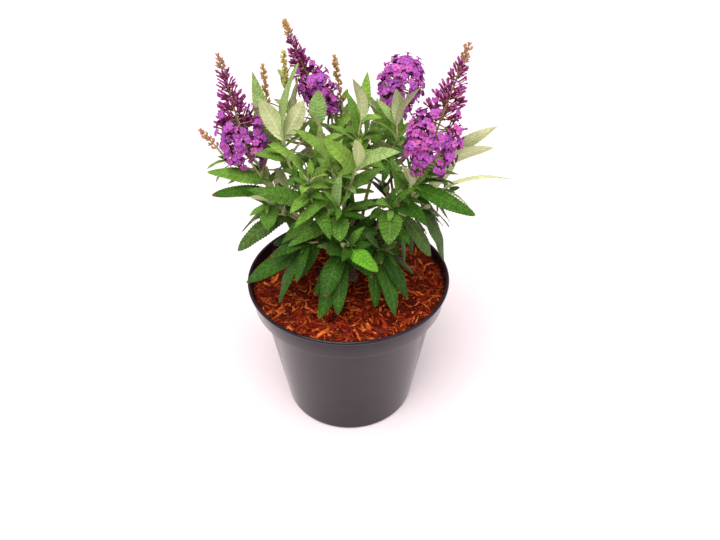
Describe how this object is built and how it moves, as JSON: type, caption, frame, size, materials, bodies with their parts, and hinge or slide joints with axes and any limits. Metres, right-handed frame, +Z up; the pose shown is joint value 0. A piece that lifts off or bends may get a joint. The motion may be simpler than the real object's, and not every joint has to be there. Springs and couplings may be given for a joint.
{
  "type": "potted butterfly bush",
  "caption": "Young butterfly bush in a round black nursery pot: a short forked stem, lance-shaped leaves and upright spikes of magenta blossom over bark mulch.",
  "frame": {"origin": "centre of the pot's flat underside", "axes": "+Z up, from the pot's foot to the tops of the flower spikes; the side seen in the picture faces -Y"},
  "size_m": [0.2665, 0.2031, 0.3693],
  "materials": {
    "pot": "glossy black",
    "root_ball": "shredded bark mulch over potting compost",
    "wood": "pale brown bark",
    "foliage": "matt leaves with spikes of magenta blossom"
  },
  "bodies": {
    "root": {"pot": "pot", "root_ball": "root_ball", "stem": "wood", "bough_left": "wood", "bough_back_left": "wood", "bough_centre_left": "wood", "bough_front": "wood", "bough_back_right": "wood", "bough_right": "wood", "bough_low_left": "wood", "bough_low_front": "wood", "bough_low_right": "wood", "bough_back": "wood", "bough_low_back_left": "wood", "bough_low_back_right": "wood", "foliage_left": "foliage", "foliage_back_left": "foliage", "foliage_centre_left": "foliage", "foliage_front": "foliage", "foliage_back_right": "foliage", "foliage_right": "foliage", "foliage_low_left": "foliage", "foliage_low_front": "foliage", "foliage_low_right": "foliage", "foliage_back": "foliage", "foliage_low_back_left": "foliage", "foliage_low_back_right": "foliage"}
  },
  "joints": []
}
